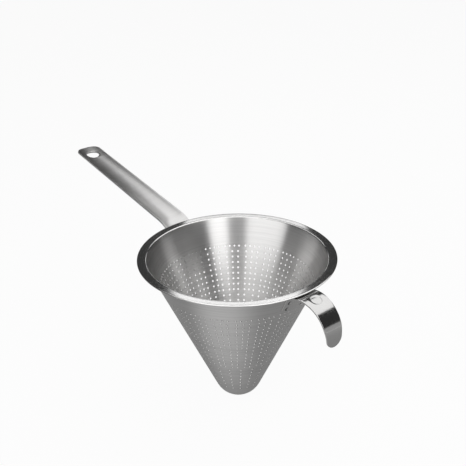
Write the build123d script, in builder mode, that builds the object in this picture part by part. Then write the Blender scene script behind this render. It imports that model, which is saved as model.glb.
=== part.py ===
"""Chinois strainer: perforated conical bowl, trough handle and pot hook, all in sheet steel.

Millimetres and degrees. The bowl's axis is Z, the rim's top face lies at Z = 0, the handle
points along -X and the hook along +X.
"""

import os
from math import asin, atan2, cos, degrees, hypot, radians, sin, sqrt, tan

from build123d import *

# Bowl
rim_diameter = 200.0
flange_width = 8.0
bowl_depth = 165.5
tip_radius = 26.0
bowl_sheet = 1.0
rim_bend_radius = 2.0

# The bowl's holes: the real ones are round, in 22 rows, here 9 rows of square ones keep the mesh
# small. Each segment's rows have three holes at the top, then two, then one
bowl_segments = 22
segment_columns = 3
first_segment_azimuth = -2.65
hole_size = 2.0
hole_sides = 4
rows_of_three = 4
rows_of_two = 2
rows_of_one = 3
first_row_depth = 29.3
last_row_margin = 6.5

# Handle: its length, height and width start where its upper edges pass over the rim
handle_azimuth = 180.0
handle_sheet = 2.0
handle_width_at_rim = 30.7
handle_width_at_end = 28.4
handle_length = 194.0
handle_tilt = 10.1
handle_height_at_rim = 1.1
handle_trough_depth = 3.0
handle_corner_radius = 12.6
handle_bend_radius = 48.0
handle_foot_depth = 48.0
hanging_hole_diameter = 15.0
hanging_hole_margin = 19.0

# Hook: its height is that of its upper face, and its run and disc start at the rim
hook_azimuth = 0.0
hook_sheet = 1.5
hook_width_at_foot = 27.4
hook_width_at_curve = 21.5
hook_width_at_end = 18.8
hook_tilt = 8.0
hook_height_at_rim = -1.8
hook_root_radius = 3.5
hook_run = 2.2
hook_curve_radius = 31.3
hook_foot_depth = 27.0
hook_tongue_depth = 40.0
disc_diameter = 11.6
disc_offset = 12.5
disc_recess = 0.3

# Feet and their welds
foot_corner_radius = 5.0
root_stations = 5
seat_bite = 0.15
weld_diameter = 5.0
weld_sides = 12
weld_dimple = 0.3
handle_weld_spacing = 15.0
handle_weld_step = 11.0
handle_weld_depth = 38.0
hook_weld_spacing = 13.0
hook_weld_step = 9.0
hook_weld_depth = 17.0
overrun = 6.0

# Flat faces round the rim's bend and down the round tip
bend_flats = 3
nose_flats = 6

rim_radius = rim_diameter / 2
mouth_radius = rim_radius - flange_width

# The wall's slope: the straight side runs from the mouth and touches the round tip
tip_centre_z = tip_radius - bowl_depth
tip_distance = hypot(mouth_radius, tip_centre_z)
wall_angle = degrees(atan2(mouth_radius, -tip_centre_z) - asin(tip_radius / tip_distance))
wall_slope = tan(radians(wall_angle))
wall_cos = cos(radians(wall_angle))


def wall_radius(z):
    """Radius of the wall's outer face at height z."""
    return mouth_radius + z * wall_slope


# The rim's bend has one centre for the sheet's two faces
bend_centre_z = -bowl_sheet - rim_bend_radius
bend_centre_r = wall_radius(bend_centre_z) + rim_bend_radius / wall_cos


# The bowl is made of flats, one to each column of holes: a hole in a flat face meshes with few
# triangles. The flats are drawn in, so that the corners between them lie on the round bowl
flat_count = bowl_segments * segment_columns
flat_pitch = 360 / flat_count
flat_share = cos(radians(flat_pitch / 2))
flat_reach = rim_radius + overrun
flat_side = flat_reach * tan(radians(flat_pitch / 2))
hole_rows = rows_of_three + rows_of_two + rows_of_one
trim_depth = bowl_sheet + overrun


def stations(centre, radius, start, end, count):
    """Points that part an arc, between two angles, into equal steps."""
    arc = CenterArc(centre, radius, start, end - start, mode=Mode.PRIVATE)
    return [arc @ (step / count) for step in range(count + 1)]


def bowl_skin(offset):
    """Draws one face of the bowl's sheet, from beyond the flange's edge to beyond the axis.

    The outer face has an offset of zero and the inner face of one sheet.
    """
    bend = rim_bend_radius + offset
    nose = tip_radius - offset
    corners = [
        Vector(flat_reach, bend_centre_z + bend),
        *stations((bend_centre_r, bend_centre_z), bend, 90, 180 - wall_angle, bend_flats),
        *stations((0, tip_centre_z), nose, -wall_angle, -90, nose_flats),
        Vector(-overrun, tip_centre_z - nose),
    ]
    skin = Polyline(*[(corner.X * flat_share, corner.Y) for corner in corners])
    return skin @ 0, skin @ 1


def bowl_flat(thickness):
    """One flat of the bowl in sheet of this thickness, mitred to meet its neighbours."""
    with BuildPart() as flat:
        with BuildSketch(Plane.XZ):
            with BuildLine():
                outer_ends = bowl_skin(0)
                inner_ends = bowl_skin(thickness)
                Line(outer_ends[0], inner_ends[0])
                Line(outer_ends[1], inner_ends[1])
            make_face()
        extrude(amount=flat_side, both=True)
        with BuildSketch():
            Polygon((0, 0), (flat_reach, -flat_side), (flat_reach, flat_side), align=None)
        extrude(amount=bowl_depth, both=True, mode=Mode.INTERSECT)
    return flat.part


def hole_plane(row):
    """Plane of the holes of a row, on the outer face of the flat at azimuth zero."""
    last_row_z = tip_centre_z - tip_radius * sin(radians(wall_angle)) + last_row_margin
    z = -first_row_depth + (last_row_z + first_row_depth) * row / (hole_rows - 1)
    outwards = Vector(wall_cos, 0, -sin(radians(wall_angle)))
    return Plane((wall_radius(z) * flat_share, 0, z), x_dir=(0, 1, 0), z_dir=outwards)


def punched(flat, rows):
    """The flat with a hole at each of these rows."""
    with BuildPart() as panel:
        add(flat)
        with BuildSketch(*[hole_plane(row) for row in rows]):
            RegularPolygon(hole_size / 2, hole_sides)
        extrude(amount=overrun, both=True, mode=Mode.SUBTRACT)
    return panel.part


def bowl_of(flats):
    """The whole bowl, from the flats of one segment, from left to right."""
    with BuildPart() as segment:
        for place, flat in enumerate(flats):
            with Locations(Rotation(0, 0, flat_pitch * (place - (segment_columns - 1) / 2))):
                add(flat)
    with BuildPart() as bowl:
        with PolarLocations(0, bowl_segments, start_angle=first_segment_azimuth):
            add(segment.part)
        with BuildSketch():
            Circle(rim_radius)
        extrude(amount=bowl_depth, both=True, mode=Mode.INTERSECT)
    return bowl.part


# Strainer cone: each segment has a punched flat in its middle and one on each side
plain_flat = bowl_flat(bowl_sheet)
upper_rows = range(rows_of_three)
lowest_rows = range(rows_of_three + rows_of_two, hole_rows)
side_flat = punched(plain_flat, range(rows_of_three + rows_of_two))
middle_flat = punched(plain_flat, [*upper_rows, *lowest_rows])

with BuildPart() as strainer_cone:
    add(bowl_of([side_flat, middle_flat, side_flat]))

# The bowl with its wall thickened inwards, which trims what sits on it
bowl_envelope = bowl_of([bowl_flat(trim_depth)] * segment_columns)


def side_plane(azimuth):
    """Upright plane through the axis: local X runs outwards and local Y up."""
    return Plane.XZ.rotated((0, 0, azimuth))


def plane_across(azimuth, reach, height, heading):
    """Plane across a strip that runs at heading degrees in the side view.

    Local X is the strip's width and local Y the side on the left of its heading.
    """
    side = side_plane(azimuth)
    ahead = Vector(cos(radians(heading)), sin(radians(heading)), 0)
    origin = side.from_local_coords(Vector(reach, height, 0))
    return Plane(origin, x_dir=-side.z_dir, z_dir=side.from_local_coords(ahead))


def dip_between(half, radius):
    """Depth of a round face of this radius between edges that are half on each side."""
    return radius - sqrt(radius**2 - half**2)


def wall_dip(z, half):
    """Depth of the wall's round face, across its slope, at height z."""
    return dip_between(half, wall_radius(z) / wall_cos)


class StripSection(BaseSketchObject):
    """Section of a strip of sheet whose upper face dips between its edges.

    The middle of the upper face is at the origin.
    """

    def __init__(self, width, thickness, dip, mode=Mode.ADD):
        half = width / 2
        with BuildSketch() as section:
            with BuildLine():
                if dip:
                    lower_radius = (half**2 + dip**2) / (2 * dip) + thickness
                    lower_edge = dip_between(half, lower_radius) - thickness
                    ThreePointArc((-half, dip), (0, 0), (half, dip))
                    ThreePointArc((-half, lower_edge), (0, -thickness), (half, lower_edge))
                else:
                    lower_edge = -thickness
                    Line((-half, dip), (half, dip))
                    Line((-half, lower_edge), (half, lower_edge))
                Line((-half, dip), (-half, lower_edge))
                Line((half, dip), (half, lower_edge))
            make_face()
        super().__init__(obj=section.sketch, mode=mode)


def root_bend(tilt, height_at_rim, radius):
    """Reach at which a strip leaves its straight run, to bend down onto the wall.

    The strip's face meets the wall tangentially, with the bite that its seat is trimmed by.
    """
    steep = radians(90 - wall_angle)
    shallow = radians(tilt)
    rise = height_at_rim - rim_radius * tan(shallow) - radius * (cos(shallow) - cos(steep))
    run = radius * (sin(steep) - sin(shallow))
    wall = mouth_radius - seat_bite / wall_cos
    return (wall + wall_slope * rise + run) / (1 - wall_slope * tan(shallow))


def strip_root(azimuth, start, height, tilt, radius, width, thickness, dip, foot_depth):
    """Lofts a strip's bend, from its straight run to the wall, and its foot on the wall."""
    steep = 90 - wall_angle
    centre_reach = start + radius * sin(radians(tilt))
    centre_height = height - radius * cos(radians(tilt))
    with BuildPart() as root:
        for station in range(root_stations + 1):
            share = station / root_stations
            heading = tilt + share * (steep - tilt)
            reach = centre_reach - radius * sin(radians(heading))
            z = centre_height + radius * cos(radians(heading))
            station_dip = dip + share * (wall_dip(z, width / 2) - dip)
            with BuildSketch(plane_across(azimuth, reach, z, heading)):
                StripSection(width, thickness, station_dip)
        loft(ruled=True)
        for foot_z in (z, -foot_depth):
            foot_reach = wall_radius(foot_z) - seat_bite / wall_cos
            with BuildSketch(plane_across(azimuth, foot_reach, foot_z, steep)):
                StripSection(width, thickness, wall_dip(foot_z, width / 2))
        loft(ruled=True)
        foot_end = root.faces().filter_by(GeomType.PLANE).sort_by(Axis.Z)[0]
        fillet(foot_end.edges().sort_by(SortBy.LENGTH)[:2], radius=foot_corner_radius)
    return root.part


def weld_plane(azimuth, depth):
    """Plane on the wall at a depth under the rim: local X across and local Y up the wall."""
    side = side_plane(azimuth)
    outwards = Vector(cos(radians(wall_angle)), -sin(radians(wall_angle)), 0)
    origin = side.from_local_coords(Vector(wall_radius(-depth), -depth, 0))
    return Plane(origin, x_dir=-side.z_dir, z_dir=side.from_local_coords(outwards))


def weld_height(sheet, depth, spacing):
    """Height of a weld's dimpled top over its plane, where the round foot has fallen away."""
    return sheet - wall_dip(-depth, spacing / 2) - weld_dimple


# Handle
handle_middle_at_rim = handle_height_at_rim - handle_trough_depth / cos(radians(handle_tilt))
handle_start = root_bend(handle_tilt, handle_middle_at_rim, handle_bend_radius)
handle_rise = tan(radians(handle_tilt))
handle_reach = rim_radius + handle_length
hanging_hole_reach = handle_reach - hanging_hole_margin


def handle_width(reach):
    """Width of the tapered handle at a distance from the bowl's axis."""
    share = (reach - rim_radius) / handle_length
    return handle_width_at_rim + share * (handle_width_at_end - handle_width_at_rim)


def handle_middle(reach):
    """Height of the trough's middle line at a distance from the bowl's axis."""
    return handle_middle_at_rim + handle_rise * (reach - rim_radius)


across = plane_across(handle_azimuth, handle_start, handle_middle(handle_start), handle_tilt)
blade_plane = Plane(across.origin, x_dir=across.z_dir, z_dir=across.y_dir)
blade_length = (handle_reach - handle_start) / cos(radians(handle_tilt))
hole_distance = (hanging_hole_reach - handle_start) / cos(radians(handle_tilt))
root_width = handle_width(handle_start)

handle_root = strip_root(
    handle_azimuth,
    handle_start,
    handle_middle(handle_start),
    handle_tilt,
    handle_bend_radius,
    root_width,
    handle_sheet,
    handle_trough_depth,
    handle_foot_depth,
)

handle_weld_plane = weld_plane(handle_azimuth, handle_weld_depth)

with BuildPart() as handle:
    with BuildSketch(across):
        StripSection(root_width, handle_sheet, handle_trough_depth)
    extrude(amount=blade_length)
    with BuildSketch(blade_plane):
        with BuildLine():
            Polyline(
                (0, -root_width / 2),
                (blade_length, -handle_width_at_end / 2),
                (blade_length, handle_width_at_end / 2),
                (0, root_width / 2),
                close=True,
            )
        make_face()
        fillet(vertices().group_by(Axis.X)[-1], radius=handle_corner_radius)
    extrude(amount=overrun, both=True, mode=Mode.INTERSECT)
    with BuildSketch(blade_plane):
        with Locations((hole_distance, 0)):
            Circle(hanging_hole_diameter / 2)
    extrude(amount=overrun, both=True, mode=Mode.SUBTRACT)
    add(handle_root)
    add(bowl_envelope, mode=Mode.SUBTRACT)
    with BuildSketch(handle_weld_plane):
        with GridLocations(handle_weld_spacing, handle_weld_step, 2, 2):
            RegularPolygon(weld_diameter / 2, weld_sides)
    extrude(amount=overrun, both=True, mode=Mode.SUBTRACT)


# The handle's weld nuggets fill the holes in its foot, down to the wall
with BuildPart() as handle_spot_welds:
    with BuildSketch(handle_weld_plane.offset(-overrun)):
        with GridLocations(handle_weld_spacing, handle_weld_step, 2, 2):
            RegularPolygon(weld_diameter / 2, weld_sides)
    extrude(amount=overrun + weld_height(handle_sheet, handle_weld_depth, handle_weld_spacing))
    add(bowl_envelope, mode=Mode.SUBTRACT)

# Hook
hook_rise = tan(radians(hook_tilt))
hook_start = root_bend(hook_tilt, hook_height_at_rim, hook_root_radius)
hook_curve_start = rim_radius + hook_run
disc_reach = rim_radius + disc_offset


def hook_height(reach):
    """Height of the hook's straight upper face at a distance from the bowl's axis."""
    return hook_height_at_rim + hook_rise * (reach - rim_radius)


curve_centre_r = hook_curve_start + hook_curve_radius * sin(radians(hook_tilt))
curve_centre_z = hook_height(hook_curve_start) - hook_curve_radius * cos(radians(hook_tilt))
hook_reach = curve_centre_r + hook_curve_radius
tongue_centre_z = hook_width_at_end / 2 - hook_tongue_depth
disc_heading = -degrees(asin((disc_reach - curve_centre_r) / hook_curve_radius))
disc_height = curve_centre_z + hook_curve_radius * cos(radians(disc_heading))

hook_root = strip_root(
    hook_azimuth,
    hook_start,
    hook_height(hook_start),
    hook_tilt,
    hook_root_radius,
    hook_width_at_foot,
    hook_sheet,
    0,
    hook_foot_depth,
)
hook_weld_plane = weld_plane(hook_azimuth, hook_weld_depth)
hook_side = side_plane(hook_azimuth)

# A thin curved slice under the hook's upper face, as wide as its pressed disc
with BuildPart() as disc_press:
    with BuildSketch(hook_side):
        with Locations((curve_centre_r, curve_centre_z)):
            Circle(hook_curve_radius + overrun)
            Circle(hook_curve_radius - disc_recess, mode=Mode.SUBTRACT)
    extrude(amount=disc_diameter, both=True)
    with BuildSketch(plane_across(hook_azimuth, disc_reach, disc_height, disc_heading + 90)):
        Circle(disc_diameter / 2)
    extrude(amount=overrun, both=True, mode=Mode.INTERSECT)

with BuildPart() as support_hook:
    with BuildSketch(hook_side):
        with BuildLine():
            start_point = (hook_start, hook_height(hook_start))
            Line(start_point, (hook_curve_start, hook_height(hook_curve_start)))
            curve_centre = (curve_centre_r, curve_centre_z)
            curve = CenterArc(curve_centre, hook_curve_radius, 90 + hook_tilt, -90 - hook_tilt)
            Line(curve @ 1, (hook_reach, -hook_tongue_depth))
            offset(amount=hook_sheet, side=Side.RIGHT)
        make_face()
    extrude(amount=hook_width_at_foot / 2, both=True)
    with BuildSketch():
        with BuildLine():
            Polyline(
                (hook_start - overrun, -hook_width_at_foot / 2),
                (hook_reach, -hook_width_at_curve / 2),
                (hook_reach, hook_width_at_curve / 2),
                (hook_start - overrun, hook_width_at_foot / 2),
                close=True,
            )
        make_face()
    extrude(amount=hook_tongue_depth, both=True, mode=Mode.INTERSECT)
    with BuildSketch(Plane.YZ):
        with BuildLine():
            Polyline(
                (-hook_width_at_end / 2, tongue_centre_z),
                (-hook_width_at_foot / 2, 0),
                (hook_width_at_foot / 2, 0),
                (hook_width_at_end / 2, tongue_centre_z),
                close=True,
            )
        make_face()
        with Locations((0, tongue_centre_z)):
            Circle(hook_width_at_end / 2)
    extrude(amount=hook_reach + overrun, mode=Mode.INTERSECT)
    add(disc_press.part, mode=Mode.SUBTRACT)
    add(hook_root)
    add(bowl_envelope, mode=Mode.SUBTRACT)
    with BuildSketch(hook_weld_plane):
        with GridLocations(hook_weld_spacing, hook_weld_step, 2, 2):
            RegularPolygon(weld_diameter / 2, weld_sides)
    extrude(amount=overrun, both=True, mode=Mode.SUBTRACT)

# The hook's weld nuggets fill the holes in its foot in the same way
with BuildPart() as hook_spot_welds:
    with BuildSketch(hook_weld_plane.offset(-overrun)):
        with GridLocations(hook_weld_spacing, hook_weld_step, 2, 2):
            RegularPolygon(weld_diameter / 2, weld_sides)
    extrude(amount=overrun + weld_height(hook_sheet, hook_weld_depth, hook_weld_spacing))
    add(bowl_envelope, mode=Mode.SUBTRACT)

# One STEP file for each piece
strainer_cone.part.label = "strainer_cone"
handle.part.label = "handle"
handle_spot_welds.part.label = "handle_spot_welds"
support_hook.part.label = "support_hook"
hook_spot_welds.part.label = "hook_spot_welds"

os.makedirs("parts", exist_ok=True)
export_step(strainer_cone.part, "parts/strainer_cone.step")
export_step(handle.part, "parts/handle.step")
export_step(handle_spot_welds.part, "parts/handle_spot_welds.step")
export_step(support_hook.part, "parts/support_hook.step")
export_step(hook_spot_welds.part, "parts/hook_spot_welds.step")
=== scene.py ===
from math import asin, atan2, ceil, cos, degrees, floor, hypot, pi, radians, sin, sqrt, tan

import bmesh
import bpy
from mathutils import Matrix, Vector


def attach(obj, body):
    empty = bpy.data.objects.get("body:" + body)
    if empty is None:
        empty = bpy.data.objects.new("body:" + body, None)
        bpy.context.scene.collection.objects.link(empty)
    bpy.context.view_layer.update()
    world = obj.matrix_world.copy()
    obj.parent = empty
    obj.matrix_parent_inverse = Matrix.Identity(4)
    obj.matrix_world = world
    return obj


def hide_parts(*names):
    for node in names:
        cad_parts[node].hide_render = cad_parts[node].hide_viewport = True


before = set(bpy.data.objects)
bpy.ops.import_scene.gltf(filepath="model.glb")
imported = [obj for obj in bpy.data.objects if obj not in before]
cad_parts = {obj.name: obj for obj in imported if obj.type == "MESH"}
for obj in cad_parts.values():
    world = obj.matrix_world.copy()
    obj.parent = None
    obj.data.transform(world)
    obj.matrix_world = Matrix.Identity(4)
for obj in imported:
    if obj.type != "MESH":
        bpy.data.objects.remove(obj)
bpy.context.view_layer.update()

# %% [markdown]
# # A conical strainer in sheet steel
#
# The strainer is three pieces of thin sheet: a punched cone with a flat rim, a long handle, and a
# hook that sits on the edge of a pot. All of them start flat, so all of them are made in the same
# way here: a flat grid is cut, punched and then bent along a line. That is close to how the
# workshop does it, and it keeps every face a tidy four-sided one.

MM = 0.001

# %% Sizes in millimetres, the same as in the solids but for the rim's bend
rim_radius = 100.0
flange_width = 8.0
bowl_depth = 165.5
tip_radius = 26.0
bowl_sheet = 1.0
rim_bend = 0.4  # 2 mm in the solids, where a tighter bend would cost faces for nothing

handle_sheet = 2.0
handle_width_at_rim = 30.7
handle_width_at_end = 28.4
handle_length = 194.0
handle_tilt = radians(10.1)
handle_height_at_rim = 1.1
handle_trough = 3.0
handle_corner = 12.6
handle_bend = 48.0
handle_foot = 48.0
hanging_hole_radius = 7.5
hanging_hole_margin = 19.0

hook_sheet = 1.5
hook_width_at_foot = 27.4
hook_width_at_curve = 21.5
hook_width_at_end = 18.8
hook_tilt = radians(8.0)
hook_height_at_rim = -1.8
hook_root = 3.5
hook_run = 2.2
hook_curve = 31.3
hook_foot = 27.0
hook_tongue = 40.0
disc_radius = 5.8
disc_offset = 12.5
disc_recess = 0.3

foot_corner = 5.0
weld_radius = 2.5

# %% [markdown]
# ## The wall's slope
#
# The cone's straight side runs from the mouth and touches the round tip. Its angle isn't a round
# number, so it is worked out from the sizes above, in the same way as in the solids.

# %% The wall's slope
mouth_radius = rim_radius - flange_width
tip_centre = tip_radius - bowl_depth
wall_angle = atan2(mouth_radius, -tip_centre) - asin(tip_radius / hypot(mouth_radius, tip_centre))
steep = pi / 2 - wall_angle
bend_centre_z = -bowl_sheet - rim_bend
bend_centre_r = mouth_radius + bend_centre_z * tan(wall_angle) + rim_bend / cos(wall_angle)


def wall_radius(z):
    """Radius of the wall's outer face at height z."""
    return mouth_radius + z * tan(wall_angle)


print("wall angle", round(degrees(wall_angle), 2), "degrees from upright")

# %% [markdown]
# ## Lines to bend along
#
# Seen from the side, every piece is a line of straight runs and round bends. A `Path` holds such
# a line, and gives the place and heading at any distance along it, so that one bending step can
# serve the bowl, the handle and the hook.


# %% A path of runs and bends
class Path:
    """A line in the side view, from a point and a heading, measured along its length."""

    def __init__(self, reach, height, heading):
        self.legs = []
        self.length = 0.0
        self.end = (reach, height, heading)

    def run(self, length):
        """Adds a straight run."""
        self.legs.append((self.length, self.end, 0.0))
        return self._finish_leg(length)

    def bend(self, radius, turn):
        """Adds a round bend, to the left for a positive turn."""
        curvature = (1 if turn > 0 else -1) / radius
        self.legs.append((self.length, self.end, curvature))
        return self._finish_leg(radius * abs(turn))

    def _finish_leg(self, length):
        self.length += length
        self.end = self.at(self.length)
        return self

    def at(self, distance):
        """Reach, height and heading at a distance along the line."""
        start, (reach, height, heading), curvature = self.legs[0]
        for leg in self.legs:
            if leg[0] <= distance:
                start, (reach, height, heading), curvature = leg
        ahead = distance - start
        if not curvature:
            return reach + ahead * cos(heading), height + ahead * sin(heading), heading
        turned = heading + ahead * curvature
        reach += (sin(turned) - sin(heading)) / curvature
        height -= (cos(turned) - cos(heading)) / curvature
        return reach, height, turned


# %% [markdown]
# ## A sheet to cut and punch
#
# A blank starts as a grid whose squares are one unit wide, so that a square is found by counting.
# A hole takes out a block of squares, and the edge that is left is drawn inwards to a ring. The
# ring has as many corners as the block's border, so only four-sided faces are left. A boolean
# cut would also make holes, but it leaves long thin triangles that show in polished steel.


# %% Blanks and holes
def blank(columns, rows):
    """A flat grid with its corner at zero and squares of one unit."""
    mesh = bmesh.new()
    bmesh.ops.create_grid(mesh, x_segments=columns, y_segments=rows, size=1)
    bmesh.ops.translate(mesh, vec=(1, 1, 0), verts=mesh.verts)
    bmesh.ops.scale(mesh, vec=(columns / 2, rows / 2, 1), verts=mesh.verts)
    return mesh


def draw_in(mesh, edges):
    """Draws new edges from these ones, and returns the new edges and their corners."""
    drawn = bmesh.ops.extrude_edge_only(mesh, edges=edges)["geom"]
    new_edges = [item for item in drawn if isinstance(item, bmesh.types.BMEdge)]
    corners = [item for item in drawn if isinstance(item, bmesh.types.BMVert)]
    return [edge for edge in new_edges if all(v in corners for v in edge.verts)], corners


def punch(mesh, column, row, count):
    """Takes out a block of squares, and returns the ring's edges and each corner's angle."""
    middle = Vector((column + count / 2, row + count / 2))
    block = [
        face
        for face in mesh.faces
        if max(abs(value) for value in face.calc_center_median().xy - middle) < count / 2
    ]
    edges_of_block = {edge for face in block for edge in face.edges}
    border = [
        edge for edge in edges_of_block if sum(face in block for face in edge.link_faces) == 1
    ]
    bmesh.ops.delete(mesh, geom=block, context="FACES")
    edges, corners = draw_in(mesh, border)
    step = pi / (2 * count)
    shift = count % 2 / 2
    angles = {}
    for corner in corners:
        away = corner.co.xy - middle
        angles[corner] = step * (round(atan2(away.y, away.x) / step - shift) + shift)
    return edges, angles


# %% [markdown]
# ## From flat to sheet metal
#
# After bending, a piece is still a skin with no thickness. `solidify` gives it both faces and the
# cut edges between them. Real cut edges are never razor sharp, and the thin line of light along
# them tells the eye that this is metal, so they get a small round bevel.


# %% Thickness, edges and a place in the scene
SHARP = radians(40)


def thicken(mesh, thickness, facing):
    """Turns a bent skin into sheet of this thickness, which is added behind the skin.

    The skin's highest face looks up where facing is 1, and down where it is -1.
    """
    bmesh.ops.recalc_face_normals(mesh, faces=mesh.faces)
    highest = max(mesh.faces, key=lambda face: face.calc_center_median().z)
    if highest.normal.z * facing < 0:
        bmesh.ops.reverse_faces(mesh, faces=mesh.faces)
    bmesh.ops.solidify(mesh, geom=mesh.faces[:], thickness=thickness)


def round_edges(mesh, edges, radius):
    """Rounds these edges by a radius."""
    bmesh.ops.bevel(
        mesh, geom=edges, offset=radius, affect="EDGES", segments=3, profile=0.5,
        material=-1, clamp_overlap=True,
    )


def place(mesh, name, stands_for, slot):
    """Makes the finished piece an object in metres on the root body, and hides the node of the
    solids that it takes the place of.
    """
    bmesh.ops.scale(mesh, vec=(MM, MM, MM), verts=mesh.verts)
    data = bpy.data.meshes.new(name)
    mesh.to_mesh(data)
    mesh.free()
    data.shade_smooth()
    data.set_sharp_from_angle(angle=SHARP)
    piece = bpy.data.objects.new(name, data)
    bpy.context.scene.collection.objects.link(piece)
    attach(piece, "root")
    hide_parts(stands_for)
    print(name, "has", len(data.polygons), "faces")
    return piece


# %% [markdown]
# ## Laying out a blank
#
# A blank's squares are one unit wide at first. A layout says where each row and each column of the
# grid really goes: how far along the sheet, and how far across. The corners of a hole's ring go
# round the hole's middle instead. The third number of a flat place is how far a point stands off
# the sheet, which is how a pressed mark is made before anything is bent.


# %% From counted squares to real places
def between(values, place):
    """The value at a place in a list, or halfway between two of them."""
    return (values[floor(place)] + values[ceil(place)]) / 2


def lay_flat(layout, holes, stretch=lambda distance: 1.0):
    """Cuts a flat blank, punches its holes and returns it with the edges of each hole.

    A layout is a list of rows, each one a distance along and the places of its columns. A hole is
    its first column and row, the squares that it takes out each way, and its radius.
    """
    mesh = blank(len(layout[0][1]) - 1, len(layout) - 1)
    rings, round_places = [], {}
    for column, row, count, radius in holes:
        edges, angles = punch(mesh, column, row, count)
        along = between([distance for distance, _ in layout], row + count / 2)
        across = between(layout[floor(row + count / 2)][1], column + count / 2)
        for corner, angle in angles.items():
            out = radius * cos(angle) / stretch(along)
            round_places[corner] = (across + out, along + radius * sin(angle), 0.0)
        rings.append((edges, (across, along, 0.0)))
    for corner in mesh.verts:
        if corner not in round_places:
            distance, columns = layout[round(corner.co.y)]
            corner.co = (columns[round(corner.co.x)], distance, 0.0)
    for corner, flat_place in round_places.items():
        corner.co = flat_place
    return mesh, rings


def spread(first, last, parts):
    """Evenly spaced values from the first up to, but not with, the last."""
    return [first + (last - first) * part / parts for part in range(parts)]


# %% [markdown]
# ## The punched cone
#
# The real bowl is drawn from one disc: a flat rim, a tight bend, a plain band, and the punched
# wall down to a plain round tip. The holes repeat in 22 equal segments. A segment has four holes
# in its top row, then three, then two, then one as the cone narrows. So one segment is cut and
# punched flat, wrapped round the axis, and copied round with `spin`.

# %% The bowl's line, from the rim's edge to the tip
rim_edge = rim_radius - 0.01
bowl_line = Path(rim_edge, -bowl_sheet, pi).run(rim_edge - bend_centre_r)
bend_from = bowl_line.length
bowl_line.bend(rim_bend, steep)
wall_from, wall_top = bowl_line.length, bowl_line.end[1]
wall_end_z = tip_centre - tip_radius * sin(wall_angle)
bowl_line.run((wall_top - wall_end_z) / cos(wall_angle))
wall_to = bowl_line.length
bowl_line.bend(tip_radius, -steep)
print("the bowl's line ends at", [round(value, 3) for value in bowl_line.end])


def along_wall(z):
    """Distance along the bowl's line to a height on the wall."""
    return wall_from + (wall_top - z) / cos(wall_angle)


# %% The pattern of holes in one segment
SEGMENTS = 22
HOLE_ROWS = 22
segment_angle = 2 * pi / SEGMENTS
segment_azimuth = radians(-2.65)
first_hole_z = -29.3
hole_row_drop = 5.45
hole_radius = 1.1  # a little more than in the solids, whose holes are square
half_cell = 1.9  # half the width of the squares that a hole takes the place of
top_row_step = radians(3.75)
side_column = radians(4.78)
least_gap = radians(0.4)
three_until_row, two_until_row = 9, 15


def cell_lines(centre, half):
    """Four grid lines, for the three squares that a hole takes the place of."""
    return [centre + half * share for share in (-1, -1 / 3, 1 / 3, 1)]


def hole_lines(row, radius):
    """Grid lines across a segment at a row of holes, as angles, and the holes' first columns."""
    edge, half = segment_angle / 2, half_cell / radius
    if row == 0:
        inner = [top_row_step * (line / 3 - 2) for line in range(13)]
        return [-edge, *inner, edge], (1, 4, 7, 10)
    if row < two_until_row:
        left = cell_lines(-side_column, half)
        middle = cell_lines(0, min(half, side_column - half - least_gap))
        right = cell_lines(side_column, half)
        columns = [-edge, *left, (left[-1] + middle[0]) / 2, *middle, *right, edge]
        return columns, (1, 6, 10) if row < three_until_row else (1, 10)
    columns = spread(-edge, -half, 6) + cell_lines(0, half)[:3] + spread(half, edge, 5) + [edge]
    return columns, (6,)


# %% The segment's layout
edge_roll = 1.4  # width along the rim's edge in which its face falls away
edge_row = 0.35
plain_columns = spread(-segment_angle / 2, segment_angle / 2, 14) + [segment_angle / 2]
rows = [0.0, *spread(edge_row, edge_roll, 3), *spread(edge_roll, bend_from, 3)]
rows += spread(bend_from, wall_from, 6)
rows += spread(wall_from, along_wall(first_hole_z) - half_cell, 5)
layout = [(distance, plain_columns) for distance in rows]
holes = []
for hole_row in range(HOLE_ROWS):
    middle = along_wall(first_hole_z - hole_row * hole_row_drop)
    columns, starts = hole_lines(hole_row, bowl_line.at(middle)[0])
    holes += [(start, len(layout), 3, hole_radius) for start in starts]
    layout += [(distance, columns) for distance in cell_lines(middle, half_cell)]
tip_rows = spread(middle + 2 * half_cell, wall_to, 2) + spread(wall_to, bowl_line.length, 9)
layout += [(distance, plain_columns) for distance in tip_rows + [bowl_line.length]]
print(len(layout), "rows,", len(holes), "holes in a segment,", len(holes) * SEGMENTS, "in all")

# %% Punch one segment, wrap it round the axis and copy it
bowl, _ = lay_flat(layout, holes, stretch=lambda distance: bowl_line.at(distance)[0])
for corner in bowl.verts:
    reach, height, _ = bowl_line.at(corner.co.y)
    azimuth = segment_azimuth + corner.co.x
    corner.co = (reach * cos(azimuth), reach * sin(azimuth), height)
bmesh.ops.spin(
    bowl, geom=bowl.verts[:] + bowl.edges[:] + bowl.faces[:], cent=(0, 0, 0), axis=(0, 0, 1),
    dvec=(0, 0, 0), angle=segment_angle * (SEGMENTS - 1), steps=SEGMENTS - 1, use_duplicate=True,
)
bmesh.ops.remove_doubles(bowl, verts=bowl.verts, dist=0.002)
thicken(bowl, bowl_sheet, facing=-1)

# %% [markdown]
# ## The rim's edge
#
# Pressing leaves the rim's face falling away slightly at its edge, which shows as a thin dark line
# in the photograph. It is made by lowering the top face by the square of the way past the start of
# the fall. A bevel of that width would look cut, where this has no edge on its inner side.

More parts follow.
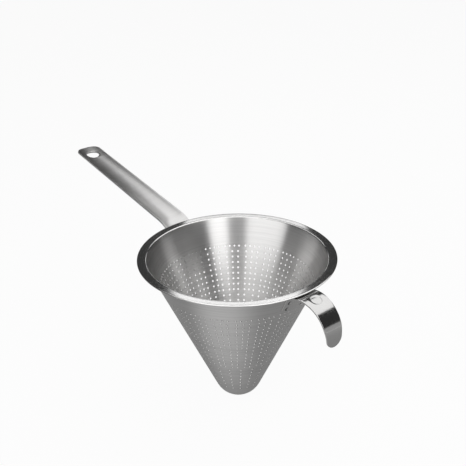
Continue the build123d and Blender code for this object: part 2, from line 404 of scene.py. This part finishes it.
# %% Round the rim over towards its edge, and put the bowl in its place
edge_fall = 0.12  # millimetres down for each square millimetre
rim_rounding = 0.2
for corner in bowl.verts:
    past = corner.co.xy.length - (rim_edge - edge_roll)
    if past > 0 and corner.co.z > -bowl_sheet / 2:
        corner.co.z -= edge_fall * past**2
rim_edges = [
    edge
    for edge in bowl.edges
    if all(v.co.xy.length > rim_edge - 0.01 for v in edge.verts)
    and abs(edge.verts[0].co.z - edge.verts[1].co.z) < bowl_sheet / 2
]
round_edges(bowl, rim_edges, rim_rounding)
strainer_cone = place(bowl, "strainer_cone_punched", "strainer_cone", "bowl_steel")


# %% [markdown]
# ## Strips that end on the wall
#
# The handle and the hook are both strips of sheet. Each leaves its straight run, bends down under
# the rim and ends in a foot that lies on the wall. On the real strainer the foot is pressed to the
# cone's curve before it is welded, so the bend carries the strip's own section over to the wall's.


# %% A strip's line, and how far its section dips
seat_gap = 0.05  # between a foot and the wall


def bend_start(tilt, height_at_rim, radius):
    """Reach at which a strip starts to bend, so that its foot comes to lie on the wall."""
    rise = height_at_rim - rim_radius * tan(tilt) - radius * (cos(tilt) - cos(steep))
    run = radius * (sin(steep) - sin(tilt))
    wall = mouth_radius + seat_gap / cos(wall_angle)
    return (wall + tan(wall_angle) * rise + run) / (1 - tan(wall_angle) * tan(tilt))


def run_to(line, height):
    """Runs a line straight on to a height, and returns the length before that run."""
    before, (_, start, heading) = line.length, line.end
    line.run((height - start) / sin(heading))
    return before


def dip_between(half, radius):
    """Depth of a round face of this radius between edges that are half on each side."""
    return radius - sqrt(radius**2 - half**2)


def wall_dip(z, half):
    """Depth of the wall's round face, across its slope, at height z."""
    return dip_between(half, wall_radius(z) / cos(wall_angle))


def section_rise(across, half, dip):
    """How far a strip's face rises beside its middle, when its edges rise by the dip."""
    return dip_between(across, (half**2 + dip**2) / (2 * dip)) if dip else 0.0


# %% Rounded ends and mirrored grid lines
def round_end(across, from_end, half, radius):
    """Where a point of a square end goes when both of its corners are rounded."""
    side = max(0.0, abs(across) - half + radius) / radius
    ahead = max(0.0, radius - from_end) / radius
    if side and ahead:
        width = half - radius + radius * side * sqrt(1 - ahead**2 / 2)
        across = width if across > 0 else -width
        from_end = radius - radius * ahead * sqrt(1 - side**2 / 2)
    return across, from_end


def both_sides(lines):
    """Grid lines on both sides of a strip's middle, from those on one side."""
    return [-line for line in reversed(lines)] + [0.0] + lines


def ring_lines(middle, step, count):
    """Grid lines of a block of squares round a hole's middle."""
    return [middle + step * (line - count / 2) for line in range(count + 1)]


# %% Rows and holes for a foot's four welds
WELD_SQUARES = 4
weld_step = 1.6


def weld_lines_along(middle, half_step, step):
    """Grid lines of the two rows of welds on either side of a place along a strip."""
    return [ring_lines(middle + side * half_step, step, WELD_SQUARES) for side in (-1, 1)]


def weld_holes(first_row):
    """Four holes for the welds, two in each row.

    They start one column too far out: columns 2 and 8 would put them over the nuggets, which lie
    1.6 mm nearer to the strip's middle.
    """
    rows = (first_row, first_row + WELD_SQUARES + 1)
    return [(column, row, WELD_SQUARES, weld_radius) for row in rows for column in (1, 9)]


# %% Bend a flat strip along its line
def bend_strip(mesh, line, side, dip_at, half_at):
    """Bends a flat strip along its line, on one side of the bowl."""
    for corner in mesh.verts:
        across, along, off = corner.co
        reach, height, heading = line.at(along)
        rise = off + section_rise(across, half_at(along), dip_at(along))
        reach += rise * cos(heading - pi / 2)
        height += rise * sin(heading - pi / 2)
        corner.co = (side * reach, across, height)


weld_margin = 1.5


def middle_of(edges):
    """The middle of a ring of edges."""
    corners = {corner for edge in edges for corner in edge.verts}
    return sum((corner.co for corner in corners), Vector()) / len(corners)


def sharp_edges(mesh, welds):
    """The sharp edges round a strip of sheet, but not those round the holes for the welds."""
    return [
        edge
        for edge in mesh.edges
        if edge.calc_face_angle(0) > SHARP
        and all((edge.verts[0].co - weld).length > weld_radius + weld_margin for weld in welds)
    ]


# %% [markdown]
# ## The handle
#
# One strip of two millimetre sheet, pressed to a shallow trough so that it doesn't flex. It widens
# slightly towards the bowl. Its end is rounded and has the hole that it hangs by. It could be cut
# from a swept block, but a strip that is bent keeps its thickness all along.

# %% The handle's line
handle_slope = tan(handle_tilt)
handle_middle_at_rim = handle_height_at_rim - handle_trough / cos(handle_tilt)
handle_start = bend_start(handle_tilt, handle_middle_at_rim, handle_bend)
handle_end_height = handle_middle_at_rim + handle_slope * handle_length
handle_line = Path(rim_radius + handle_length, handle_end_height, pi + handle_tilt)
handle_line.run((rim_radius + handle_length - handle_start) / cos(handle_tilt))
handle_bend_from = handle_line.length
handle_line.bend(handle_bend, steep - handle_tilt)
handle_foot_from = run_to(handle_line, -handle_foot)
print("handle: bends at", round(handle_bend_from, 2), "of", round(handle_line.length, 2), "mm")


def handle_half(along):
    """Half of the handle's width at a distance along it."""
    reach = max(handle_line.at(along)[0], handle_start)
    share = (reach - rim_radius) / handle_length
    return (handle_width_at_rim + share * (handle_width_at_end - handle_width_at_rim)) / 2


def handle_dip(along):
    """How far the handle's edges stand over its middle at a distance along it."""
    half = handle_half(along)
    if along <= handle_bend_from:
        return handle_trough * (half / handle_half(handle_bend_from)) ** 2
    share = min(1.0, (along - handle_bend_from) / (handle_foot_from - handle_bend_from))
    return handle_trough + share * (wall_dip(handle_line.at(along)[1], half) - handle_trough)


# %% The handle's layout, with the hanging hole and four holes for the welds
HANG_SQUARES = 8
hang_step = 2.2
hang_at = hanging_hole_margin / cos(handle_tilt)
handle_weld_side, handle_weld_half_step, handle_weld_depth = 7.5, 5.5, 38.0
weld_at = handle_line.length - (handle_foot - handle_weld_depth) / cos(wall_angle)
end_lines = both_sides([2.2, 4.4, 6.6, 8.8, 10.6, 12.4, handle_half(0)])
foot_half = handle_half(handle_bend_from)
weld_lines = ring_lines(handle_weld_side, weld_step, WELD_SQUARES)
foot_lines = both_sides([*weld_lines, 13.2, foot_half])


def mix_lines(first, second, share):
    """Grid lines on the way from one set to another."""
    return [a + share * (b - a) for a, b in zip(first, second)]


hang_rows = ring_lines(hang_at, hang_step, HANG_SQUARES)
end_rows = spread(0, hang_rows[0], 5)
weld_rows = weld_lines_along(weld_at, handle_weld_half_step, weld_step)
layout = [(distance, end_lines) for distance in end_rows + hang_rows]
for share in spread(1 / 8, 1, 7):
    distance = hang_rows[-1] + share * (handle_bend_from - hang_rows[-1])
    layout.append((distance, mix_lines(end_lines, foot_lines, share)))
foot_rows = spread(handle_bend_from, handle_foot_from, 16)
foot_rows += spread(handle_foot_from, weld_rows[0][0], 2)
holes = [(3, len(end_rows), HANG_SQUARES, hanging_hole_radius)]
holes += weld_holes(len(layout) + len(foot_rows))
foot_rows += [*weld_rows[0], *weld_rows[1], weld_rows[1][-1] + 1.1, handle_line.length]
layout += [(distance, foot_lines) for distance in foot_rows]
print("the handle has", len(layout), "rows and", len(holes), "holes")

# %% Cut the handle, round its corners, bend it and give it thickness
handle_rounding = 0.35
handle_mesh, rings = lay_flat(layout, holes)
for corner in handle_mesh.verts:
    across, along, off = corner.co
    across, along = round_end(across, along, handle_half(0), handle_corner)
    across, left = round_end(across, handle_line.length - along, foot_half, foot_corner)
    corner.co = (across, handle_line.length - left, off)
bend_strip(handle_mesh, handle_line, -1, handle_dip, handle_half)
welds = [middle_of(edges) for edges, _ in rings[1:]]
thicken(handle_mesh, handle_sheet, facing=1)
round_edges(handle_mesh, sharp_edges(handle_mesh, welds), handle_rounding)
handle = place(handle_mesh, "handle_trough", "handle", "handle_steel")

# %% [markdown]
# ## The hook
#
# Opposite the handle, a strip of thinner sheet leaves the wall under the rim, curves over and hangs
# down, so that the strainer can sit on the edge of a pot. It narrows towards a round end. A plain
# shallow disc is pressed into its top. The disc is drawn inwards from a hole while the strip is
# still flat, because a cut into the bent strip would leave thin triangles on the curve.

# %% The hook's line
hook_curve_from_r = rim_radius + hook_run
hook_start = bend_start(hook_tilt, hook_height_at_rim, hook_root)
curve_centre_r = hook_curve_from_r + hook_curve * sin(hook_tilt)
curve_centre_z = hook_height_at_rim + hook_run * tan(hook_tilt) - hook_curve * cos(hook_tilt)
hook_reach = curve_centre_r + hook_curve
hook_line = Path(hook_reach, -hook_tongue, pi / 2)
hook_curve_from = hook_line.run(curve_centre_z + hook_tongue).length
hook_curve_to = hook_line.bend(hook_curve, pi / 2 + hook_tilt).length
hook_root_from = hook_line.run((hook_curve_from_r - hook_start) / cos(hook_tilt)).length
hook_line.bend(hook_root, steep - hook_tilt)
hook_foot_from = run_to(hook_line, -hook_foot)
print("hook:", round(hook_line.length, 2), "mm long, reaches", round(hook_reach, 2), "mm")


def hook_half(along):
    """Half of the hook's width at a distance along it."""
    reach, height, _ = hook_line.at(along)
    wide, narrow, end = hook_width_at_foot / 2, hook_width_at_curve / 2, hook_width_at_end / 2
    plan = wide + max(0.0, (reach - hook_start) / (hook_reach - hook_start)) * (narrow - wide)
    if reach < curve_centre_r:
        return plan
    hang = min(1.0, max(0.0, height / (end - hook_tongue)))
    return min(plan, wide + hang * (end - wide))


def hook_dip(along):
    """How far the hook's edges stand over its middle at a distance along it."""
    if along <= hook_root_from:
        return 0.0
    share = min(1.0, (along - hook_root_from) / (hook_foot_from - hook_root_from))
    return share * wall_dip(hook_line.at(along)[1], hook_half(along))


# %% The hook's layout, with the pressed disc and four holes for the welds
DISC_SQUARES = 8
disc_step, hook_weld_row_step = 1.75, 1.45
shoulder, shoulder_depth = 0.15, 0.06  # steps of the disc's rounded wall
disc_angle = pi / 2 - asin((rim_radius + disc_offset - curve_centre_r) / hook_curve)
disc_at = hook_curve_from + hook_curve * disc_angle
hook_weld_side, hook_weld_half_step, hook_weld_depth = 6.5, 4.5, 17.0
hook_weld_at = hook_line.length - (hook_foot - hook_weld_depth) / cos(wall_angle)
even = [line / 7 for line in range(1, 8)]
disc_lines = [1.75, 3.5, 5.25, 7.0, 8.9, 10.8]
weld_lines = [*ring_lines(hook_weld_side, weld_step, WELD_SQUARES), 11.7]


def hook_columns(lines, along):
    """Grid lines across the hook: those given, and its edge."""
    return both_sides([*lines, hook_half(along)])


disc_rows = ring_lines(disc_at, disc_step, DISC_SQUARES)
weld_rows = weld_lines_along(hook_weld_at, hook_weld_half_step, hook_weld_row_step)
tongue_rows = spread(0, hook_curve_from, 5) + spread(hook_curve_from, disc_rows[0], 14)
layout = []
for distance in tongue_rows:
    half = hook_half(distance)
    share = max(0.0, distance - hook_curve_from) / (disc_rows[0] - hook_curve_from)
    plain = both_sides([half * part for part in even])
    layout.append((distance, mix_lines(plain, hook_columns(disc_lines, distance), share)))
layout += [(distance, hook_columns(disc_lines, distance)) for distance in disc_rows]
top_rows = spread(disc_rows[-1] + 1.6, hook_curve_to, 1) + spread(hook_curve_to, hook_root_from, 4)
for distance in top_rows:
    share = (distance - disc_rows[-1]) / (hook_root_from - disc_rows[-1])
    near, far = hook_columns(disc_lines, distance), hook_columns(weld_lines, distance)
    layout.append((distance, mix_lines(near, far, share)))
foot_rows = spread(hook_root_from, hook_foot_from, 6)
foot_rows += spread(hook_foot_from, weld_rows[0][0], 3)
holes = [(3, len(tongue_rows), DISC_SQUARES, disc_radius + shoulder)]
holes += weld_holes(len(layout) + len(foot_rows))
foot_rows += [*weld_rows[0], *weld_rows[1], weld_rows[1][-1] + 1.8, hook_line.length]
layout += [(distance, hook_columns(weld_lines, distance)) for distance in foot_rows]
print("the hook has", len(layout), "rows and", len(holes), "holes")


# %% Cut the hook, press its disc, bend it and give it thickness
def press(mesh, edges, centre, steps):
    """Fills a ring with a pressed mark, in steps of radius and depth, closed at its centre."""
    centre = Vector(centre)
    for radius, depth in steps:
        edges, corners = draw_in(mesh, edges)
        for corner in corners:
            away = (corner.co - centre).xy.normalized() * radius
            corner.co = centre + Vector((away.x, away.y, -depth))
    bmesh.ops.remove_doubles(mesh, verts=corners, dist=2 * steps[-1][0])


hook_rounding = 0.3
hook_mesh, rings = lay_flat(layout, holes)
bottom = disc_radius - shoulder
press_steps = [(disc_radius, shoulder_depth), (bottom, disc_recess - shoulder_depth)]
press_steps += [(radius, disc_recess) for radius in (bottom - shoulder, 4.2, 2.8, 1.4, 0.01)]
press(hook_mesh, *rings[0], press_steps)
for corner in hook_mesh.verts:
    across, along, off = corner.co
    across, along = round_end(across, along, hook_half(0), hook_width_at_end / 2)
    foot_left = hook_line.length - along
    across, foot_left = round_end(across, foot_left, hook_half(hook_line.length), foot_corner)
    corner.co = (across, hook_line.length - foot_left, off)
bend_strip(hook_mesh, hook_line, 1, hook_dip, hook_half)
welds = [middle_of(edges) for edges, _ in rings[1:]]
thicken(hook_mesh, hook_sheet, facing=1)
round_edges(hook_mesh, sharp_edges(hook_mesh, welds), hook_rounding)
hook = place(hook_mesh, "support_hook_bent", "support_hook", "hook_steel")

# %% [markdown]
# ## The welds
#
# Four spot welds hold each foot. The electrode melts the two sheets into one small round nugget
# and leaves a shallow dimple a little under the foot's face. Each nugget is turned with `spin`,
# because it is round, and reaches through the foot down to the wall. It doesn't fill its hole in
# the foot: the holes lie 1.6 mm further out, so that a narrow part of each one stays open.


# %% Weld nuggets
def nuggets(azimuth, sheet, side, half_step, depth, name):
    """Four nuggets between a foot and the wall, as one piece."""
    bite, clearance, dimple_radius = 0.04, 0.01, 1.3
    mesh = bmesh.new()
    top = seat_gap + sheet - clearance
    edge = weld_radius - clearance
    outline = [(0, -bite), (edge, -bite), (edge, top)]
    outline += [(dimple_radius, top - 0.03), (0, top - 0.05)]
    for row in (-1, 1):
        for column in (-1, 1):
            profile = [mesh.verts.new((x, 0, z)) for x, z in outline]
            edges = [mesh.edges.new(pair) for pair in zip(profile, profile[1:])]
            bmesh.ops.spin(
                mesh, geom=profile + edges, cent=(0, 0, 0), axis=(0, 0, 1), dvec=(0, 0, 0),
                angle=2 * pi, steps=32, use_merge=True,
            )
            z = -depth + row * half_step * cos(wall_angle)
            radius = wall_radius(z)
            turn = Matrix.Rotation(azimuth + asin(column * side / radius), 4, "Z")
            lean = Matrix.Rotation(pi / 2 + wall_angle, 4, "Y")
            seat = turn @ Matrix.Translation((radius, 0, z)) @ lean
            fresh = [corner for corner in mesh.verts if not corner.tag]
            bmesh.ops.remove_doubles(mesh, verts=fresh, dist=0.001)
            fresh = [corner for corner in mesh.verts if not corner.tag]
            bmesh.ops.transform(mesh, matrix=seat, verts=fresh)
            for corner in fresh:
                corner.tag = True
    bmesh.ops.recalc_face_normals(mesh, faces=mesh.faces)
    return place(mesh, name + "_dimpled", name, "weld_steel")


handle_welds = nuggets(
    pi, handle_sheet, handle_weld_side, handle_weld_half_step, handle_weld_depth,
    "handle_spot_welds",
)
hook_welds = nuggets(
    0, hook_sheet, hook_weld_side, hook_weld_half_step, hook_weld_depth, "hook_spot_welds"
)


# %% [markdown]
# ## Writing a material as a sum
#
# A brushed finish is mostly arithmetic on noise. Written out as nodes, that is hard to read, so a
# small class wraps a socket, and an expression such as `0.2 + 0.1 * streaks` adds its Math nodes.
# Every other node comes from one method, which takes the node's type, its settings and its inputs.


# %% Sockets that add up, and a tree to hold the nodes
class Number:
    """A number that varies over a surface: sums with it add Math nodes."""

    def __init__(self, nodes, socket):
        self.nodes, self.socket = nodes, socket

    def _math(self, operation, first, second):
        made = self.nodes.node("ShaderNodeMath", {"operation": operation}, {0: first, 1: second})
        return Number(self.nodes, made.outputs[0])

    def __add__(self, other):
        return self._math("ADD", self, other)

    __radd__ = __add__

    def __mul__(self, other):
        return self._math("MULTIPLY", self, other)

    __rmul__ = __mul__

    def __sub__(self, other):
        return self._math("SUBTRACT", self, other)

    def __rsub__(self, other):
        return self._math("SUBTRACT", other, self)


class Nodes:
    """The node tree of a material or of the room."""

    def __init__(self, owner):
        self.owner = owner
        owner.use_nodes = True
        self.tree = owner.node_tree
        self.tree.nodes.clear()

    def node(self, kind, settings=None, inputs=None):
        """Adds a node of a kind, with its settings first and then its values and links."""
        made = self.tree.nodes.new(kind)
        for name, value in (settings or {}).items():
            setattr(made, name, value)
        for name, value in (inputs or {}).items():
            socket = value.socket if isinstance(value, Number) else value
            if isinstance(socket, bpy.types.NodeSocket):
                self.tree.links.new(socket, made.inputs[name])
            else:
                made.inputs[name].default_value = socket
        return made

    def noise(self, stretch, detail=2.0, roughness=0.5):
        """Noise over the piece, from 0 to 1, with this many cells to the metre along each axis."""
        where = self.node("ShaderNodeTexCoord").outputs["Object"]
        moved = self.node("ShaderNodeMapping", None, {"Vector": where, "Scale": stretch}).outputs[0]
        made = self.node(
            "ShaderNodeTexNoise", {"noise_dimensions": "3D"},
            {"Vector": moved, "Scale": 1.0, "Detail": detail, "Roughness": roughness},
        )
        return Number(self, made.outputs[0])

    def height_step(self, low, high):
        """A number that rises from 0 to 1 between two heights in millimetres."""
        where = self.node("ShaderNodeTexCoord").outputs["Object"]
        height = self.node("ShaderNodeSeparateXYZ", None, {0: where}).outputs["Z"]
        return self.map_range(height, (low * MM, high * MM), (0.0, 1.0), "LINEAR")

    def map_range(self, value, start, end, shape):
        """A number that goes from one range to another, and no further."""
        made = self.node(
            "ShaderNodeMapRange", {"clamp": True, "interpolation_type": shape},
            {
                "Value": value, "From Min": start[0], "From Max": start[1],
                "To Min": end[0], "To Max": end[1],
            },
        )
        return Number(self, made.outputs[0])

    def shade(self, share, first, second):
        """Mixes two colours, to be the colour of a surface. The first may be a mix itself."""
        if isinstance(first, tuple):
            first = (*first, 1.0)
        return self.node(
            "ShaderNodeMix", {"data_type": "RGBA"}, {0: share, 6: first, 7: (*second, 1.0)}
        ).outputs[2]

    def mix(self, share, first, second):
        """Mixes two shaders."""
        inputs = {0: share, 1: first.outputs[0], 2: second.outputs[0]}
        return self.node("ShaderNodeMixShader", None, inputs)


def cover(nodes, shader, *pieces):
    """Puts a finished material on its pieces."""
    nodes.node("ShaderNodeOutputMaterial", None, {"Surface": shader.outputs[0]})
    for piece in pieces:
        piece.data.materials.clear()
        piece.data.materials.append(nodes.owner)
    print("finish", nodes.owner.name, "on", [piece.name for piece in pieces])


# %% [markdown]
# ## Steel
#
# All the pieces are the same bare stainless steel, and only their finish differs. A metallic
# Principled shader has the whole look in its roughness, so that is what varies: the fine lines of
# a finish are noise that is stretched along the way the abrasive went. The same noise tilts the
# surface by a few thousandths of a millimetre through a Bump node, which draws a reflection out
# into streaks. An image of scratches would give more detail, but noise has no seams and no end.


# %% Steel with fine lines
def steel(nodes, colour, roughness, lines, bump, more=None):
    """Bare stainless steel whose lines stand proud by this many millimetres."""
    normal = nodes.node(
        "ShaderNodeBump", None, {"Strength": 1.0, "Distance": bump * MM, "Height": lines}
    ).outputs[0]
    inputs = {"Base Color": colour, "Metallic": 1.0, "Roughness": roughness, "Normal": normal}
    return nodes.node("ShaderNodeBsdfPrincipled", None, inputs | (more or {}))


# %% [markdown]
# ## The bowl's finish
#
# The bowl is polished while it spins, so its lines run round it. They spread a reflection up and
# down the wall, and hardly to the sides. That is what anisotropy is for: a quarter turn sets its
# spread across the lines. The flat rim and its bend are brighter, because they are buffed last.

# %% The bowl
bowl_steel = Nodes(bpy.data.materials.new("bowl_steel_turned"))
turned = bowl_steel.noise((11, 11, 620), 4.0, 0.6)
buffed = bowl_steel.height_step(-0.9, -0.2)
wall_gloss, rim_gloss = 0.25 + 0.09 * turned, 0.13
cover(
    bowl_steel,
    steel(
        bowl_steel,
        bowl_steel.shade(
            buffed, bowl_steel.shade(turned, (0.52, 0.515, 0.51), (0.78, 0.775, 0.77)),
            (0.84, 0.835, 0.83),
        ),
        wall_gloss - buffed * (wall_gloss - rim_gloss), turned, 0.002,
        {"Anisotropic": 0.75, "Anisotropic Rotation": 0.25},
    ),
    strainer_cone,
)

# %% [markdown]
# ## The handle, the hook and the welds
#
# The handle is brushed across, so it is softer and its lines run from side to side. The hook is
# polished, and only a faint unevenness is left in it. A weld's dimple keeps the dull, grainy skin
# that the electrode left.

# %% The handle, the hook and the welds
handle_steel = Nodes(bpy.data.materials.new("handle_steel_brushed"))
brushed = handle_steel.noise((380, 20, 20), 2.0, 0.5)
cover(
    handle_steel,
    steel(
        handle_steel, handle_steel.shade(brushed, (0.54, 0.535, 0.53), (0.66, 0.655, 0.65)),
        0.28 + 0.05 * brushed, brushed, 0.0001,
    ),
    handle,
)
hook_steel = Nodes(bpy.data.materials.new("hook_steel_polished"))
uneven = hook_steel.noise((60, 60, 60), 2.0, 0.5)
cover(
    hook_steel,
    steel(
        hook_steel, hook_steel.shade(uneven, (0.55, 0.545, 0.54), (0.63, 0.625, 0.62)),
        0.1 + 0.06 * uneven, uneven, 0.002,
    ),
    hook,
)
weld_steel = Nodes(bpy.data.materials.new("weld_steel_dull"))
grainy = weld_steel.noise((500, 500, 500), 2.0, 0.5)
cover(
    weld_steel,
    steel(
        weld_steel, weld_steel.shade(grainy, (0.56, 0.555, 0.55), (0.68, 0.675, 0.67)),
        0.24 + 0.12 * grainy, grainy, 0.004,
    ),
    handle_welds, hook_welds,
)

# %% [markdown]
# ## The table
#
# The photograph shows the strainer on plain white, so the table looks white to the camera. To the
# metal it shows a painted glow instead, at well under white: a painted pool of light in a spot in
# front of the strainer, half as light round that, and a little lighter again far away. These
# painted reflections give the wall its photographed shades, which one even white would wash out.
# Only a small share of what the camera sees takes real light, enough for a soft shadow.

# %% The table, with a painted glow that only the metal sees
PURE_BLACK, PURE_WHITE = (0.0, 0.0, 0.0), (1.0, 1.0, 1.0)
table_gap = 0.0004
painted_glow_centre = (0.07, -0.13, 0.0)
bpy.ops.mesh.primitive_plane_add(size=6, location=(0, 0, -bowl_depth * MM - table_gap))
table = bpy.context.object
table.name = "stage_table"
white = Nodes(bpy.data.materials.new("stage_white_and_painted_glow"))
rays = white.node("ShaderNodeLightPath").outputs
seen = Number(white, rays["Is Camera Ray"])
mirrored = Number(white, rays["Is Glossy Ray"]) + Number(white, rays["Is Transmission Ray"])
paint = white.node("ShaderNodeBsdfDiffuse", None, {"Color": (0.8, 0.8, 0.8, 1.0)})
glow = white.node("ShaderNodeEmission", None, {"Color": (*PURE_WHITE, 1.0), "Strength": 1.0})
# Painted light: a glowing spot in front of the strainer and a brighter far ring, shown only to rays
# mirrored by the metal.
away = white.node(
    "ShaderNodeVectorMath", {"operation": "DISTANCE"},
    {0: white.node("ShaderNodeTexCoord").outputs["Object"], 1: painted_glow_centre},
).outputs["Value"]
near = white.map_range(away, (0.03, 0.15), (0.34, 0.0), "SMOOTHSTEP")
painted_far_glow = white.map_range(away, (0.2, 1.0), (0.32, 0.42), "LINEAR")
painted_reflection_glow = white.node(
    "ShaderNodeEmission", None,
    {"Color": white.shade(near + painted_far_glow, PURE_BLACK, PURE_WHITE), "Strength": 1.0},
)
cover(white, white.mix(0.95 * seen, white.mix(mirrored, paint, painted_reflection_glow), glow), table)

# %% [markdown]
# ## The lights
#
# Metal is a picture of the room round it, so the room decides the look more than the steel does.
# Each lamp is a soft box whose edges show as an edge in the photographed metal: two tall ones in
# front with a dim gap between them make the bright stripes in the bowl, one overhead lights the
# hook, the handle and the bottom of the bowl, and two small ones behind light the rim's front and
# back. A dim card on each side keeps the rest from going black.


# %% The soft boxes
CAMERA_SIDE = -39.3


def soft_box(name, azimuth, tilt, spot, size, radiance):
    """A soft box, turned to face the strainer from an azimuth, and tilted from 0 for flat overhead.

    Its spot is how far out it stands on that azimuth, how far to the left of that and how high.
    """
    lamp = bpy.data.lights.new(name, "AREA")
    lamp.shape = "RECTANGLE"
    lamp.size, lamp.size_y = size
    lamp.energy = radiance * pi * size[0] * size[1]
    box = bpy.data.objects.new(name, lamp)
    turn = radians(azimuth)
    out, aside, height = spot
    box.location = (
        out * cos(turn) - aside * sin(turn), out * sin(turn) + aside * cos(turn), height,
    )
    box.rotation_euler = (radians(tilt), 0, turn + pi / 2)
    box.visible_camera = False
    bpy.context.scene.collection.objects.link(box)
    print(name, "at", [round(value, 2) for value in box.location])


soft_box("stage_front_right", CAMERA_SIDE, 90, (1.5, 0.79, 0.8), (0.92, 1.8), 1.85)
soft_box("stage_front_left", -80, 90, (1.5, -0.03, 0.8), (1.63, 1.8), 1.5)
soft_box("stage_front_gap", CAMERA_SIDE, 90, (1.52, 0.0, 0.8), (0.66, 1.8), 0.38)
soft_box("stage_overhead", CAMERA_SIDE + 180, 0, (0.25, -0.33, 1.0), (1.46, 1.9), 1.25)
soft_box("stage_back_low", CAMERA_SIDE + 180, 90, (0.42, -0.015, 0.158), (0.19, 0.045), 1.2)
soft_box("stage_back_high", CAMERA_SIDE + 180, 90, (0.42, 0.0, 0.3), (0.21, 0.08), 1.3)
soft_box("stage_right_card", 42, 90, (1.5, 0.0, 0.06), (1.9, 0.32), 0.4)
soft_box("stage_left_card", -140, 90, (1.5, 0.0, 0.2), (1.3, 0.6), 0.28)

# %% The room, white to the camera and nearly black to the metal
world = bpy.data.worlds.new("stage_room")
bpy.context.scene.world = world
room = Nodes(world)
seen = Number(room, room.node("ShaderNodeLightPath").outputs["Is Camera Ray"])
dim, bright = (
    room.node("ShaderNodeBackground", None, {"Color": (*PURE_WHITE, 1.0), "Strength": strength})
    for strength in (0.04, 1.0)
)
room.node("ShaderNodeOutputWorld", None, {"Surface": room.mix(seen, dim, bright).outputs[0]})
print("the room is done")

# %% The camera
camera_data = bpy.data.cameras.new("camera")
camera_data.lens = 64.38
camera_data.sensor_width = 36
camera = bpy.data.objects.new("camera", camera_data)
right = Vector((0.63385, 0.77337, -0.01215))
up = Vector((-0.33091, 0.28535, 0.89949))
back = Vector((0.69910, -0.56612, 0.43678))
camera.matrix_world = Matrix.Translation((0.57380, -0.46949, 0.38433)) @ Matrix(
    (right, up, back)
).transposed().to_4x4()
bpy.context.scene.collection.objects.link(camera)
bpy.context.scene.camera = camera
bpy.context.scene.view_settings.view_transform = "Standard"
